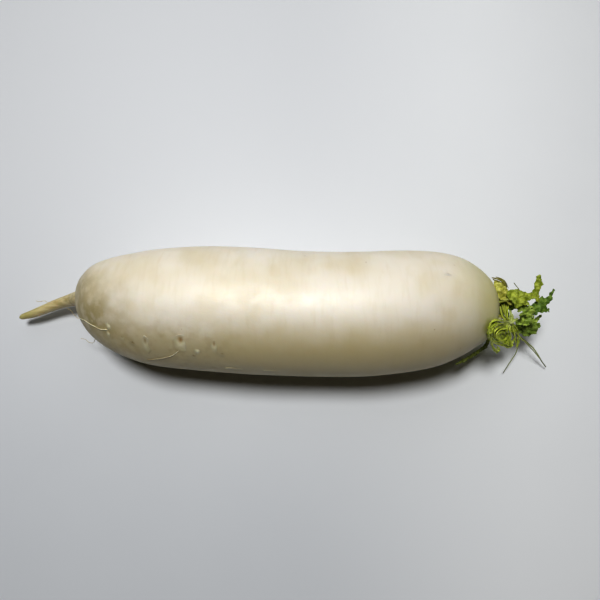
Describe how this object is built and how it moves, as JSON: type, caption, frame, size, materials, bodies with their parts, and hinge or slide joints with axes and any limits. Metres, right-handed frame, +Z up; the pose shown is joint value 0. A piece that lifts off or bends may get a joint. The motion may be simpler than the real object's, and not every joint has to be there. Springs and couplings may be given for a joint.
{
  "type": "white radish",
  "caption": "Long white radish root lying on its side, with a thin curved tail, side rootlets and a trimmed crown of young leaves.",
  "frame": {"origin": "middle of the small flat spot on the underside that the root rests on", "axes": "+X along the root towards the crown and the leaves, +Z up, away from the surface that it lies on"},
  "size_m": [0.3524, 0.0846, 0.0764],
  "materials": {
    "root_skin": null,
    "crown_green": null,
    "young_leaf": null,
    "dark_leaf": null,
    "pale_stalk": null
  },
  "bodies": {
    "root": {"root": "root_skin", "leaf_crown": "crown_green", "upper_leaf": "young_leaf", "dark_leaf": "dark_leaf", "curly_leaf": "dark_leaf", "strap_leaf": "young_leaf", "torn_stalk": "pale_stalk", "bare_stalk": "pale_stalk"}
  },
  "joints": []
}
